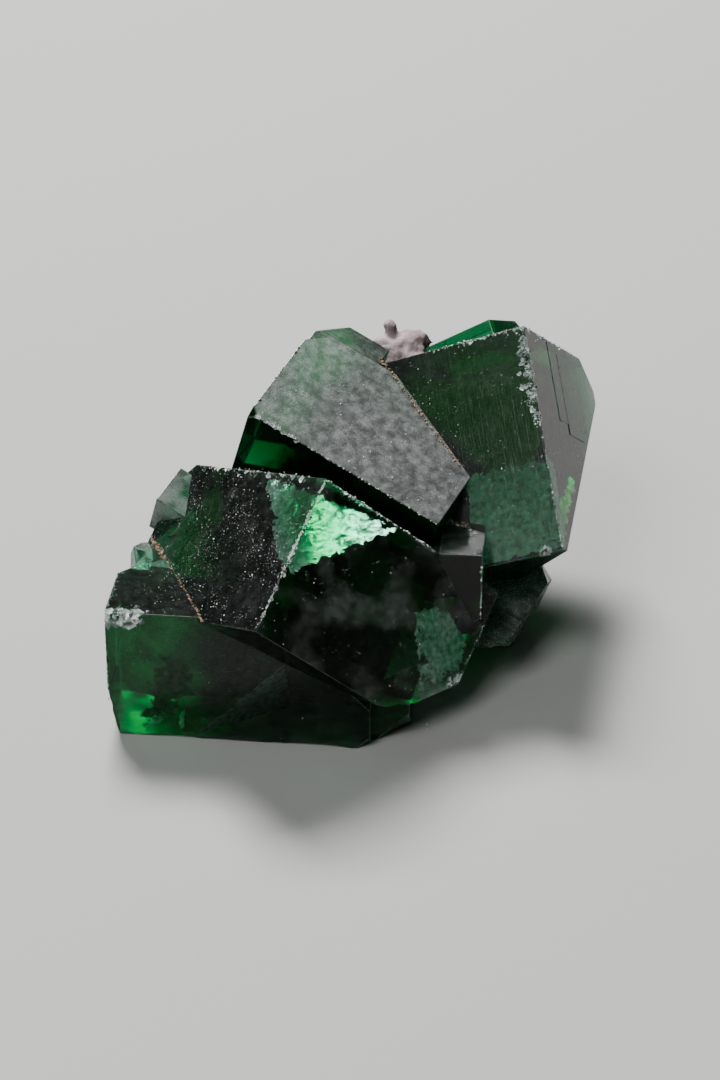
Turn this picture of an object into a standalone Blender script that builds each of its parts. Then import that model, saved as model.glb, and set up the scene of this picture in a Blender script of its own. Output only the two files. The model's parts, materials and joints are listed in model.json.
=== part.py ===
# Emerald green fluorite cluster, about 36 mm wide, on a remnant of its pinkish white rock.
# All lengths below are in millimetres and all angles in degrees; MM turns them into metres.
# +X is to the right in the front view, +Y goes back, +Z is up. The specimen lies on Z = 0, and the
# places below are counted from a point on its base; ORIGIN moves the model's origin to the middle.

import bpy
import bmesh
import math
import random
from collections import namedtuple
from mathutils import Euler, Matrix, Vector, noise

MM = 0.001
OBJECT_NAME = "fluorite_cluster"
ORIGIN = Vector((0.01, -1.55, 0.0))

# A crystal is a cube-like block: edge lengths, centre, and turn about X, Y and Z.
Crystal = namedtuple("Crystal", "size centre turn")

# The front slab crystal stands almost upright. Its twin is the same lattice turned by 60 degrees
# about a body diagonal, as in fluorite's penetration twins.
SLAB_TURN = (-2.1, 0.0, -6.1)
FRONT_SLAB = Crystal((18.8, 7.8, 11.5), (-8.2, -10.4, 4.3), SLAB_TURN)
TWIN_DIAGONAL = (-1, 1, 1)
TWIN_ANGLE = 60.0
TILTED_TWIN = Crystal((17.8, 17.8, 11.8), (-3.8, -6.6, 7.0), None)

# The upper pair: the frosted cube and the large right cube that grows through it.
FROSTED_TURN = (18.4, 22.0, -23.3)
FROSTED_CUBE = Crystal((15.9, 9.6, 10.0), (0.1, 2.1, 13.5), FROSTED_TURN)
RIGHT_TURN = (-40.4, -22.4, -11.5)
RIGHT_CUBE = Crystal((14.0, 14.5, 16.7), (9.6, 3.6, 11.4), RIGHT_TURN)

# Smaller crystals between, below and behind the large ones.
UPRIGHT_CUBE = Crystal((3.1, 7.0, 7.3), (7.5, -5.6, 8.5), SLAB_TURN)
PALE_CRYSTAL = Crystal((6.5, 9.0, 6.0), (9.05, -2.8, 3.7), FROSTED_TURN)
FOOT_LUMP = Crystal((5.8, 5.0, 6.0), (0.9, -11.7, 1.15), SLAB_TURN)
CORNER_CRYSTAL = Crystal((1.3, 2.0, 3.0), (-15.8, -5.3, 9.0), (-10.0, 6.0, 14.0))
LEFT_SHOULDER = Crystal((3.6, 3.4, 3.8), (-12.8, -1.0, 11.2), FROSTED_TURN)
BACK_LEFT_CRYSTAL = Crystal((5.4, 4.5, 7.0), (-1.9, 7.8, 17.3), FROSTED_TURN)
BACK_RIGHT_CRYSTAL = Crystal((6.0, 5.0, 7.0), (9.7, 11.0, 15.6), (-30.0, -34.0, -20.0))
LOW_BACK_CRYSTAL = Crystal((6.5, 6.0, 6.5), (-8.6, 3.0, 5.2), (20.0, 34.0, 24.0))

# The rock: a roughened lump with a smaller one on its crest, and a small round knob on that.
ROCK_CENTRE = (3.0, 9.0, 8.0)
ROCK_RADII = (9.6, 6.6, 9.2)
CREST_CENTRE = (3.0, 12.3, 15.4)
CREST_RADII = (3.4, 2.6, 3.9)
KNOB_CENTRE = (2.36, 12.6, 19.1)
KNOB_RADIUS = 0.72
ROCK_FACETS = 26             # broken faces on each lump
ROCK_FACET_DEPTH = (0.82, 0.93)   # their distance from the centre, as a share of the radius
ROCK_LUMPINESS = 2.6         # bumps across a lump
ROCK_ROUGHNESS = 0.1
KNOB_ROUGHNESS = 0.04
ROCK_SEED = 7

# Breaks that follow no cleavage: a point on each and the way it faces. The lower right break is
# given by its upper and lower ends, along the tilted twin's own edges.
LOWER_RIGHT_TOP = (9.3, -8.9, 0.9)
LOWER_RIGHT_FOOT = (6.7, -8.9, -3.7)
LOWER_RIGHT_UNDERCUT = 0.75
UNDERSIDE_POINT = (0.7, -16.5, 4.3)     # under the tilted twin
UNDERSIDE_FACING = (-0.25, -0.1, -1.0)
PALE_FOOT_POINT = (10.5, -8.4, 4.1)     # at the pale crystal's lower edge
PALE_FOOT_FACING = (0.05, -0.53, -0.85)
SLAB_FOOT_POINT = (-17.9, -13.3, 3.6)   # at the slab's lower left edge
SLAB_FOOT_FACING = (-0.98, -0.1, -0.19)

GAP = 0.3             # between the crystals and the rock
EDGE_WEAR = 0.1       # rounding of the crystals' edges
CUTTER_SIDE = 60.0    # a block large enough to take away everything beyond a break


def placed(point):
    """A place in millimetres, as a position in metres from the model's origin."""
    return (Vector(point) - ORIGIN) * MM


def turn_matrix(crystal):
    """The crystal's turn; the twin takes the slab's turn and adds the twin rotation."""
    turn = SLAB_TURN if crystal.turn is None else crystal.turn
    matrix = Euler([math.radians(angle) for angle in turn]).to_matrix()
    if crystal.turn is None:
        matrix = matrix @ Matrix.Rotation(math.radians(TWIN_ANGLE), 3, Vector(TWIN_DIAGONAL))
    return matrix


def new_collection(name):
    group = bpy.data.collections.new(name)
    bpy.context.scene.collection.children.link(group)
    return group


def add_object(name, bm, group):
    mesh = bpy.data.meshes.new(name)
    bm.to_mesh(mesh)
    bm.free()
    thing = bpy.data.objects.new(name, mesh)
    group.objects.link(thing)
    return thing


def mark_guide(thing):
    thing.hide_render = True
    thing.display_type = "WIRE"
    return thing


def add_block(name, size, centre, rotation, group):
    """A box with its size in millimetres, turned about its centre."""
    bm = bmesh.new()
    bmesh.ops.create_cube(bm, size=1.0)
    bmesh.ops.scale(bm, vec=Vector(size) * MM, verts=bm.verts)
    thing = add_object(name, bm, group)
    thing.matrix_world = Matrix.Translation(placed(centre)) @ rotation.to_4x4()
    return thing


def add_boolean(thing, operation, other):
    step = thing.modifiers.new(operation.lower(), "BOOLEAN")
    step.operation = operation
    step.solver = "EXACT"
    if isinstance(other, bpy.types.Collection):
        step.operand_type = "COLLECTION"
        step.collection = other
    else:
        step.object = other
    return step


def crystal_point(crystal, local):
    """World position, in millimetres, of a point given along the crystal's own edges."""
    return Vector(crystal.centre) + turn_matrix(crystal) @ Vector(local)


def half_space(name, point, direction, group):
    """A large block whose face lies on the break plane and that fills the side it points to."""
    aim = Vector(direction).normalized()
    rotation = aim.to_track_quat("Z", "Y").to_matrix()
    centre = Vector(point) + aim * (CUTTER_SIDE / 2)
    return mark_guide(add_block(name, (CUTTER_SIDE,) * 3, centre, rotation, group))


def cleave_corner(name, crystal, corner, leg, group, grow=0.0):
    """An octahedral cleavage that takes a corner off, by leg millimetres along its edges."""
    half = Vector(crystal.size) / 2
    tip = Vector([half[i] * corner[i] for i in range(3)])
    inward = Vector(corner).normalized() * (leg / math.sqrt(3) - grow)
    direction = turn_matrix(crystal) @ Vector(corner)
    return half_space(name, crystal_point(crystal, tip - inward), direction, group)


# Cleaved corners: which corner, by the signs of its place, and how far along the edges.
FRONT_SLAB_CLEAVES = [((-1, 1, 1), 2.4), ((1, -1, -1), 2.3), ((1, -1, 1), 7.0)]
TWIN_CLEAVES = [((-1, 1, 1), 1.6), ((1, 1, -1), 7.0), ((1, 1, 1), 4.0)]
FROSTED_CLEAVES = [((-1, 1, 1), 1.6), ((-1, -1, 1), 0.7), ((-1, 1, -1), 4.0)]
RIGHT_CLEAVES = [((1, 1, -1), 13.5), ((1, 1, 1), 2.2)]
UPRIGHT_CLEAVES = [((1, -1, -1), 2.2)]
PALE_CLEAVES = [((1, 1, 1), 1.6)]
FOOT_CLEAVES = [((1, -1, -1), 4.2)]
BACK_LEFT_CLEAVES = [((-1, 1, 1), 2.0)]
BACK_RIGHT_CLEAVES = [((1, 1, 1), 1.2)]

CRYSTALS = [
    ("front_slab", FRONT_SLAB, FRONT_SLAB_CLEAVES),
    ("tilted_twin", TILTED_TWIN, TWIN_CLEAVES),
    ("frosted_cube", FROSTED_CUBE, FROSTED_CLEAVES),
    ("right_cube", RIGHT_CUBE, RIGHT_CLEAVES),
    ("upright_cube", UPRIGHT_CUBE, UPRIGHT_CLEAVES),
    ("pale_crystal", PALE_CRYSTAL, PALE_CLEAVES),
    ("foot_lump", FOOT_LUMP, FOOT_CLEAVES),
    ("corner_crystal", CORNER_CRYSTAL, []),
    ("left_shoulder", LEFT_SHOULDER, []),
    ("back_left_crystal", BACK_LEFT_CRYSTAL, BACK_LEFT_CLEAVES),
    ("back_right_crystal", BACK_RIGHT_CRYSTAL, BACK_RIGHT_CLEAVES),
    ("low_back_crystal", LOW_BACK_CRYSTAL, []),
]


BREAKS = {
    "tilted_twin": (UNDERSIDE_POINT, UNDERSIDE_FACING),
    "front_slab": (SLAB_FOOT_POINT, SLAB_FOOT_FACING),
    "pale_crystal": (PALE_FOOT_POINT, PALE_FOOT_FACING),
}


def add_crystal(name, crystal, cleaves, group, cutters, grow=0.0):
    """One crystal: a block with worn edges and its cleaved corners cut away."""
    size = Vector(crystal.size) + Vector((2 * grow,) * 3)
    thing = add_block(name, size, crystal.centre, turn_matrix(crystal), group)
    if grow == 0.0:
        wear = thing.modifiers.new("worn_edges", "BEVEL")
        wear.width = EDGE_WEAR * MM
        wear.segments = 1
    for number, (corner, leg) in enumerate(cleaves):
        cutter = cleave_corner(f"{name}_cleavage_{number}", crystal, corner, leg, cutters, grow)
        add_boolean(thing, "DIFFERENCE", cutter)
    return thing


def add_lower_right_break(thing, cutters):
    """The tilted twin's lower right corner is broken off and undercut, so it ends in a thin wedge."""
    top = crystal_point(TILTED_TWIN, LOWER_RIGHT_TOP)
    foot = crystal_point(TILTED_TWIN, LOWER_RIGHT_FOOT)
    along = (foot - top).normalized()
    face_out = turn_matrix(TILTED_TWIN) @ Vector((0, -1, 0))
    down_right = along.cross(face_out).normalized()
    if down_right.z > 0:
        down_right = -down_right
    direction = down_right - LOWER_RIGHT_UNDERCUT * face_out
    add_boolean(thing, "DIFFERENCE", half_space("lower_right_break", top, direction, cutters))


# Growth ledges: low plates parallel to a face. Axis and side of the face, the plate's span along the
# other two axes (as shares of the face from -1 to 1), and its height.
Ledge = namedtuple("Ledge", "crystal axis side span_a span_b height")
LEDGES = [
    Ledge(RIGHT_CUBE, 0, 1, (-0.35, 0.5), (0.25, 0.98), 0.18),
    Ledge(RIGHT_CUBE, 0, 1, (-0.1, 0.35), (0.15, 0.9), 0.3),
    Ledge(RIGHT_CUBE, 1, 1, (-0.7, 0.3), (0.1, 0.8), 0.25),
    Ledge(RIGHT_CUBE, 1, 1, (-0.4, 0.1), (0.25, 0.6), 0.45),
    Ledge(RIGHT_CUBE, 2, 1, (-0.2, 0.75), (-0.5, 0.5), 0.2),
    Ledge(TILTED_TWIN, 2, 1, (-0.6, 0.3), (-0.1, 0.75), 0.22),
    Ledge(TILTED_TWIN, 1, 1, (-0.8, 0.2), (-0.5, 0.6), 0.25),
    Ledge(FROSTED_CUBE, 0, -1, (-0.6, 0.5), (-0.5, 0.5), 0.15),
    Ledge(FROSTED_CUBE, 1, 1, (-0.8, -0.2), (-0.4, 0.6), 0.2),
    Ledge(FRONT_SLAB, 0, -1, (-0.5, 0.6), (-0.2, 0.6), 0.12),
]


def add_ledge(name, ledge, group, grow=0.0):
    half = Vector(ledge.crystal.size) / 2
    spans = [list(ledge.span_a), list(ledge.span_b)]
    size, middle = [0.0] * 3, [0.0] * 3
    for axis in range(3):
        if axis == ledge.axis:
            size[axis] = 2 * ledge.height
            middle[axis] = ledge.side * half[axis]
        else:
            low, high = spans.pop(0)
            size[axis] = (high - low) * half[axis]
            middle[axis] = (high + low) / 2 * half[axis]
    centre = crystal_point(ledge.crystal, middle)
    size = Vector(size) + Vector((2 * grow,) * 3)
    return mark_guide(add_block(name, size, centre, turn_matrix(ledge.crystal), group))


# Bruised edges: the crystal, the edge's two ends as shares of its half size, the number of chips
# and their mean radius.
Bruise = namedtuple("Bruise", "crystal start end chips radius")
BRUISES = [
    Bruise(TILTED_TWIN, (-1, -1, 1), (-1, -1, -0.9), 9, 0.30),
    Bruise(TILTED_TWIN, (-1, -1, 1), (0.25, -1, 1), 10, 0.34),
    Bruise(TILTED_TWIN, (-1, -0.8, 1), (-1, 0.75, 1), 9, 0.42),
    Bruise(RIGHT_CUBE, (1, -1, 0.97), (1, -1, 0.2), 9, 0.46),
    Bruise(RIGHT_CUBE, (-0.1, -1, 1), (0.97, -1, 1), 9, 0.36),
    Bruise(RIGHT_CUBE, (1, -0.9, 1), (1, 0.6, 1), 7, 0.42),
    Bruise(FROSTED_CUBE, (-1, -1, 1), (-0.6, -1, 1), 5, 0.36),
    Bruise(FROSTED_CUBE, (-1, -0.8, 1), (-1, 0.8, 1), 6, 0.28),
    Bruise(FRONT_SLAB, (-1, -1, 1), (-0.6, -1, 1), 5, 0.44),
    Bruise(FRONT_SLAB, (-1, -1, 0.9), (-1, 0.7, 0.9), 4, 0.36),
    Bruise(UPRIGHT_CUBE, (1, -1, 0.8), (1, -1, -0.6), 4, 0.22),
]
BRUISE_SEED = 21


def add_bruise(number, bruise, group):
    """Small many-sided scoops along an edge."""
    dice = random.Random(BRUISE_SEED + number)
    half = Vector(bruise.crystal.size) / 2
    for chip in range(bruise.chips):
        share = (chip + dice.uniform(0.2, 0.8)) / bruise.chips
        place = Vector(bruise.start).lerp(Vector(bruise.end), share)
        radius = bruise.radius * dice.uniform(0.6, 1.35)
        offset = Vector([dice.uniform(-0.35, 0.35) * radius for _ in range(3)])
        centre = crystal_point(bruise.crystal, Vector([place[i] * half[i] for i in range(3)]) + offset)
        bm = bmesh.new()
        bmesh.ops.create_icosphere(bm, subdivisions=1, radius=radius * MM)
        stretch = Vector([dice.uniform(0.7, 1.4) for _ in range(3)])
        bmesh.ops.scale(bm, vec=stretch, verts=bm.verts)
        scoop = mark_guide(add_object(f"bruise_{number}_{chip}", bm, group))
        scoop.location = placed(centre)
        scoop.rotation_euler = [dice.uniform(0, math.pi) for _ in range(3)]


def fluorite_material():
    material = bpy.data.materials.new("green_fluorite")
    material.use_nodes = True
    shader = material.node_tree.nodes["Principled BSDF"]
    shader.inputs["Base Color"].default_value = (0.012, 0.09, 0.035, 1.0)
    shader.inputs["Roughness"].default_value = 0.25
    shader.inputs["Metallic"].default_value = 0.0
    shader.inputs["IOR"].default_value = 1.434
    return material


def rock_material():
    material = bpy.data.materials.new("pinkish_white_rock")
    material.use_nodes = True
    shader = material.node_tree.nodes["Principled BSDF"]
    shader.inputs["Base Color"].default_value = (0.42, 0.31, 0.29, 1.0)
    shader.inputs["Roughness"].default_value = 0.8
    shader.inputs["Metallic"].default_value = 0.0
    return material


def build_crystals(parts, guides):
    """All crystals joined in one solid, cut flat where it rests."""
    others = new_collection("joined_crystals")
    body = None
    for name, crystal, cleaves in CRYSTALS:
        group = parts if body is None else others
        thing = add_crystal(name, crystal, cleaves, group, guides)
        if name == "tilted_twin":
            add_lower_right_break(thing, guides)
        if name in BREAKS:
            point, facing = BREAKS[name]
            add_boolean(thing, "DIFFERENCE", half_space(f"{name}_break", point, facing, guides))
        if body is None:
            body = thing
        else:
            mark_guide(thing)
    body.name = "fluorite_crystals"
    for number, ledge in enumerate(LEDGES):
        add_ledge(f"ledge_{number}", ledge, others)
    add_boolean(body, "UNION", others)
    scoops = new_collection("bruise_scoops")
    for number, bruise in enumerate(BRUISES):
        add_bruise(number, bruise, scoops)
    add_boolean(body, "DIFFERENCE", scoops)
    floor = half_space("floor_block", (0, 0, 0), (0, 0, -1), guides)
    add_boolean(body, "DIFFERENCE", floor)
    body.data.materials.append(fluorite_material())
    return body


def add_lump(name, centre, radii, detail, roughness, group):
    """A lump of rock: a ball struck flat on many sides, then roughened."""
    dice = random.Random(ROCK_SEED + detail)
    facets = [Vector([dice.gauss(0, 1) for _ in range(3)]).normalized() for _ in range(ROCK_FACETS)]
    depths = [dice.uniform(*ROCK_FACET_DEPTH) for _ in facets]
    bm = bmesh.new()
    bmesh.ops.create_icosphere(bm, subdivisions=detail, radius=1.0)
    for vert in bm.verts:
        for facet, depth in zip(facets, depths):
            vert.co -= facet * max(0.0, vert.co.dot(facet) - depth)
        bump = noise.fractal(vert.co * ROCK_LUMPINESS + Vector(centre), 1.0, 2.0, 4)
        vert.co *= 1.0 + roughness * bump
        vert.co = Vector([vert.co[i] * radii[i] * MM for i in range(3)])
    lump = add_object(name, bm, group)
    lump.location = placed(centre)
    return lump


def build_rock(parts, guides):
    """The rock remnant: a roughened lump with a flat base, hollowed where the crystals grow."""
    rock = add_lump("matrix_rock", ROCK_CENTRE, ROCK_RADII, 4, ROCK_ROUGHNESS, parts)
    crest = add_lump("crest", CREST_CENTRE, CREST_RADII, 3, ROCK_ROUGHNESS, guides)
    knob = add_lump("knob", KNOB_CENTRE, (KNOB_RADIUS,) * 3, 2, KNOB_ROUGHNESS, guides)
    for lump in (crest, knob):
        add_boolean(rock, "UNION", mark_guide(lump))
    swollen = new_collection("room_for_crystals")
    for name, crystal, cleaves in CRYSTALS:
        room = add_crystal(f"room_{name}", crystal, cleaves, swollen, guides, grow=GAP)
        mark_guide(room)
    for number, ledge in enumerate(LEDGES):
        add_ledge(f"room_ledge_{number}", ledge, swollen, grow=GAP)
    add_boolean(rock, "DIFFERENCE", swollen)
    floor = half_space("rock_floor_block", (0, 0, 0), (0, 0, -1), guides)
    add_boolean(rock, "DIFFERENCE", floor)
    rock.data.materials.append(rock_material())
    return rock


for old in list(bpy.data.objects):
    bpy.data.objects.remove(old)
parts = new_collection(OBJECT_NAME)
guides = new_collection("cutters")
build_crystals(parts, guides)
build_rock(parts, guides)
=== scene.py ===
import json
import math
import random
from collections import namedtuple

import bmesh
import bpy
from mathutils import Euler, Matrix, Vector, noise

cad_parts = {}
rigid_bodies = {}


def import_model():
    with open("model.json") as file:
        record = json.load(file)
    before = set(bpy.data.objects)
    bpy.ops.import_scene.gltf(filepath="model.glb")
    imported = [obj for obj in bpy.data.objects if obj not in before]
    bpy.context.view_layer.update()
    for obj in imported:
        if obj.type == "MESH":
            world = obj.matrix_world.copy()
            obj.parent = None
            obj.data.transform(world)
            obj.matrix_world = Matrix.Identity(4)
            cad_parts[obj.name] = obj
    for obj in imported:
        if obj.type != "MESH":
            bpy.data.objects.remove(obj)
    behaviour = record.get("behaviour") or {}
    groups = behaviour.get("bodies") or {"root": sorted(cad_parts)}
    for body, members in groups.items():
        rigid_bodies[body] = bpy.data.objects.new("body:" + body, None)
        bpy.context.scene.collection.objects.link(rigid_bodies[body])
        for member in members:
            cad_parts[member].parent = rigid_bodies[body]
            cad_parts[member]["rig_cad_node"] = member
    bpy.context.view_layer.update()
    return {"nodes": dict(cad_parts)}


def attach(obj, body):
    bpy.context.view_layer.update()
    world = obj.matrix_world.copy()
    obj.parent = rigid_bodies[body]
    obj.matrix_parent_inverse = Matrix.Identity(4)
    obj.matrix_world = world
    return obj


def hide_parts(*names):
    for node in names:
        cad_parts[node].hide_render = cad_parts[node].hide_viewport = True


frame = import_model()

# The fluorite crystals.
# Emerald green fluorite cubes that grew into and through each other, two of them as a penetration
# twin. They are one solid. Corners and edges are cleaved, chipped and bruised, and some faces are
# frosted by etching. Lengths here are in millimetres, and places count from a point on the base.
MM = 0.001
ORIGIN = Vector((0.01, -1.55, 0.0))

Crystal = namedtuple("Crystal", "name size centre lattice cleavages finishes")


def lattice(turn_x, turn_y, turn_z):
    """The directions of a crystal's cube edges, from its turns in degrees."""
    return Euler([math.radians(angle) for angle in (turn_x, turn_y, turn_z)]).to_matrix()


SLAB_LATTICE = lattice(-2.1, 0.0, -6.1)
TWIN_LATTICE = SLAB_LATTICE @ Matrix.Rotation(math.radians(60.0), 3, Vector((-1, 1, 1)))
FROSTED_LATTICE = lattice(18.4, 22.0, -23.3)
RIGHT_LATTICE = lattice(-40.4, -22.4, -11.5)

# Each finish: how much of the face is frosted white, how patchy that is, its roughness, its
# striation, its dust, and how much a dark film of painted shade darkens it.
Finish = namedtuple("Finish", "frost patchy roughness striation dust soil")
FINISHES = {
    "clear": Finish(0.02, 0.5, 0.03, 0.15, 0.1, 0.0),
    "patchy": Finish(0.16, 1.0, 0.04, 0.15, 0.15, 0.0),
    "dusty": Finish(0.05, 0.5, 0.07, 0.15, 1.0, 0.0),
    "hazy": Finish(0.05, 0.4, 0.16, 0.3, 0.35, 0.0),
    "pale": Finish(0.26, 0.5, 0.22, 1.0, 0.2, 0.0),
    "striated": Finish(0.20, 0.3, 0.32, 1.0, 0.2, 0.0),
    "grained": Finish(0.05, 0.3, 0.05, 0.08, 0.9, 0.0),
    # Painted shade: a dark film over much of these dusty faces.
    "grimy": Finish(0.05, 0.3, 0.20, 0.2, 1.0, 0.6),
    "frosted": Finish(0.31, 0.2, 0.45, 0.2, 0.1, 0.0),
    "cleaved": Finish(0.02, 0.5, 0.04, 0.6, 0.0, 0.0),
    "worn": Finish(0.12, 0.3, 0.25, 0.0, 0.0, 0.0),
    "broken": Finish(0.08, 0.6, 0.12, 0.0, 0.2, 0.0),
    "shattered": Finish(0.95, 0.0, 0.40, 0.0, 0.0, 0.0),
    "chipped": Finish(0.10, 0.3, 0.10, 0.0, 0.0, 0.0),
    "bruised": Finish(1.35, 0.0, 0.45, 0.0, 0.0, 0.0),
    # Painted shade: a dark film over these rough breaks.
    "soiled": Finish(0.10, 0.5, 0.30, 0.0, 0.0, 0.6),
}
FINISH_NAMES = list(FINISHES)

# The slab's back face is under a dark film of painted shade.
FRONT_SLAB = Crystal(
    "front_slab", (18.8, 7.8, 11.5), (-8.2, -10.4, 4.3), SLAB_LATTICE,
    [((-1, 1, 1), 2.4), ((1, -1, -1), 2.3), ((1, -1, 1), 7.0)],
    {"+z": "grained", "-y": "clear", "-x": "clear", "+x": "clear", "+y": "grimy"},
)
TILTED_TWIN = Crystal(
    "tilted_twin", (17.8, 17.8, 11.8), (-3.8, -6.6, 7.0), TWIN_LATTICE,
    [((-1, 1, 1), 1.6), ((1, 1, -1), 7.0), ((1, 1, 1), 4.0)],
    {"-x": "dusty", "-y": "patchy", "+z": "hazy", "+y": "hazy"},
)
FROSTED_CUBE = Crystal(
    "frosted_cube", (15.9, 9.6, 10.0), (0.1, 2.1, 13.5), FROSTED_LATTICE,
    [((-1, 1, 1), 1.6), ((-1, -1, 1), 0.7), ((-1, 1, -1), 4.0)],
    {"+z": "frosted", "-y": "clear", "-x": "clear", "+y": "striated"},
)
RIGHT_CUBE = Crystal(
    "right_cube", (14.0, 14.5, 16.7), (9.6, 3.6, 11.4), RIGHT_LATTICE,
    [((1, 1, -1), 13.5), ((1, 1, 1), 2.2)],
    {"-y": "hazy", "+x": "clear", "+z": "hazy", "+y": "striated"},
)
UPRIGHT_CUBE = Crystal(
    "upright_cube", (3.1, 7.0, 7.3), (7.5, -5.6, 8.5), SLAB_LATTICE,
    [((1, -1, -1), 2.2)],
    {"+z": "grained"},
)
PALE_CRYSTAL = Crystal(
    "pale_crystal", (6.5, 9.0, 6.0), (9.05, -2.8, 3.7), FROSTED_LATTICE,
    [((1, 1, 1), 1.6)],
    {"+z": "pale", "-y": "pale", "+x": "pale"},
)
FOOT_LUMP = Crystal(
    "foot_lump", (5.8, 5.0, 6.0), (0.9, -11.7, 1.15), SLAB_LATTICE,
    [((1, -1, -1), 4.2)],
    {},
)
CORNER_CRYSTAL = Crystal(
    "corner_crystal", (1.3, 2.0, 3.0), (-15.8, -5.3, 9.0), lattice(-10, 6, 14),
    [((-1, -1, 1), 1.0), ((1, -1, 1), 0.8), ((-1, 1, 1), 0.8)],
    {side: "pale" for side in ("-x", "+x", "-y", "+y", "+z", "-z")},
)
# The left shoulder is under a dark film of painted shade on every side.
LEFT_SHOULDER = Crystal(
    "left_shoulder", (3.6, 3.4, 3.8), (-12.8, -1.0, 11.2), FROSTED_LATTICE, [],
    {side: "grimy" for side in ("-x", "+x", "-y", "+y", "+z", "-z")},
)
BACK_LEFT_CRYSTAL = Crystal(
    "back_left_crystal", (5.4, 4.5, 7.0), (-1.9, 7.8, 17.3), FROSTED_LATTICE,
    [((-1, 1, 1), 2.0)],
    {"+z": "striated", "-x": "hazy"},
)
BACK_RIGHT_CRYSTAL = Crystal(
    "back_right_crystal", (6.0, 5.0, 7.0), (9.7, 11.0, 15.6), lattice(-30, -34, -20),
    [((1, 1, 1), 1.2)],
    {"+z": "hazy", "+y": "striated"},
)
LOW_BACK_CRYSTAL = Crystal(
    "low_back_crystal", (6.5, 6.0, 6.5), (-8.6, 3.0, 5.2), lattice(20, 34, 24), [],
    {"+z": "hazy", "+y": "hazy"},
)
CRYSTALS = [
    FRONT_SLAB, TILTED_TWIN, FROSTED_CUBE, RIGHT_CUBE, UPRIGHT_CUBE, PALE_CRYSTAL, FOOT_LUMP,
    CORNER_CRYSTAL, LEFT_SHOULDER, BACK_LEFT_CRYSTAL, BACK_RIGHT_CRYSTAL, LOW_BACK_CRYSTAL,
]
EDGE_WEAR = 0.06

finish_marks = [bpy.data.materials.new(f"mark_{name}") for name in FINISH_NAMES]


def place(crystal, local):
    """The place of a point given along a crystal's own edges from its centre."""
    return Vector(crystal.centre) + crystal.lattice @ Vector(local)


def tool_object(name, bm, collection):
    """A shape in millimetres that is joined to the crystals or cut out of them."""
    bmesh.ops.recalc_face_normals(bm, faces=bm.faces)
    if bm.calc_volume(signed=True) < 0:
        bmesh.ops.reverse_faces(bm, faces=bm.faces)
    mesh = bpy.data.meshes.new(name)
    bm.to_mesh(mesh)
    bm.free()
    for mark in finish_marks:
        mesh.materials.append(mark)
    thing = bpy.data.objects.new(name, mesh)
    collection.objects.link(thing)
    return thing


tool_collections = []


def tool_collection(name):
    collection = bpy.data.collections.new(name)
    bpy.context.scene.collection.children.link(collection)
    tool_collections.append(collection)
    return collection


def crystal_block(crystal, collection):
    """One crystal: a cube with cleaved corners and slightly worn edges."""
    bm = bmesh.new()
    bmesh.ops.create_cube(bm, size=1.0)
    bmesh.ops.scale(bm, vec=crystal.size, verts=bm.verts)
    bm.normal_update()
    for face in bm.faces:
        axis = max(range(3), key=lambda i: abs(face.normal[i]))
        side = ("-" if face.normal[axis] < 0 else "+") + "xyz"[axis]
        face.material_index = FINISH_NAMES.index(crystal.finishes.get(side, "clear"))
    for corner, leg in crystal.cleavages:
        outward = Vector(corner).normalized()
        tip = Vector([crystal.size[i] / 2 * corner[i] for i in range(3)])
        cut = bmesh.ops.bisect_plane(
            bm, geom=bm.verts[:] + bm.edges[:] + bm.faces[:],
            plane_co=tip - outward * leg / math.sqrt(3), plane_no=outward, clear_outer=True,
        )
        rim = [part for part in cut["geom_cut"] if isinstance(part, bmesh.types.BMEdge)]
        for face in bmesh.ops.edgeloop_fill(bm, edges=rim)["faces"]:
            face.material_index = FINISH_NAMES.index("cleaved")
    bmesh.ops.bevel(
        bm, geom=bm.verts[:] + bm.edges[:], offset=EDGE_WEAR, segments=2, profile=0.5,
        affect="EDGES", material=FINISH_NAMES.index("worn"),
    )
    bm.transform(Matrix.Translation(crystal.centre) @ crystal.lattice.to_4x4())
    return tool_object(crystal.name, bm, collection)


# Growth plates: low plates parallel to a face, which end in small steps. Axis and side of the face,
# the plate's span along the other two axes as shares of the face, and its height.
Plate = namedtuple("Plate", "crystal axis side span_a span_b height")
PLATES = [
    Plate(RIGHT_CUBE, 0, 1, (-0.35, 0.5), (0.25, 0.98), 0.03),
    Plate(RIGHT_CUBE, 0, 1, (-0.1, 0.35), (0.15, 0.9), 0.05),
    Plate(RIGHT_CUBE, 1, 1, (-0.7, 0.3), (0.1, 0.8), 0.12),
    Plate(RIGHT_CUBE, 1, 1, (-0.4, 0.1), (0.25, 0.6), 0.2),
    Plate(RIGHT_CUBE, 2, 1, (-0.2, 0.75), (-0.5, 0.5), 0.08),
    Plate(TILTED_TWIN, 2, 1, (-0.6, 0.3), (-0.1, 0.75), 0.1),
    Plate(TILTED_TWIN, 1, 1, (-0.8, 0.2), (-0.5, 0.6), 0.12),
    Plate(FROSTED_CUBE, 0, -1, (-0.6, 0.5), (-0.5, 0.5), 0.06),
    Plate(FROSTED_CUBE, 1, 1, (-0.8, -0.2), (-0.4, 0.6), 0.1),
    Plate(FRONT_SLAB, 0, -1, (-0.5, 0.6), (-0.2, 0.6), 0.05),
]


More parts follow.
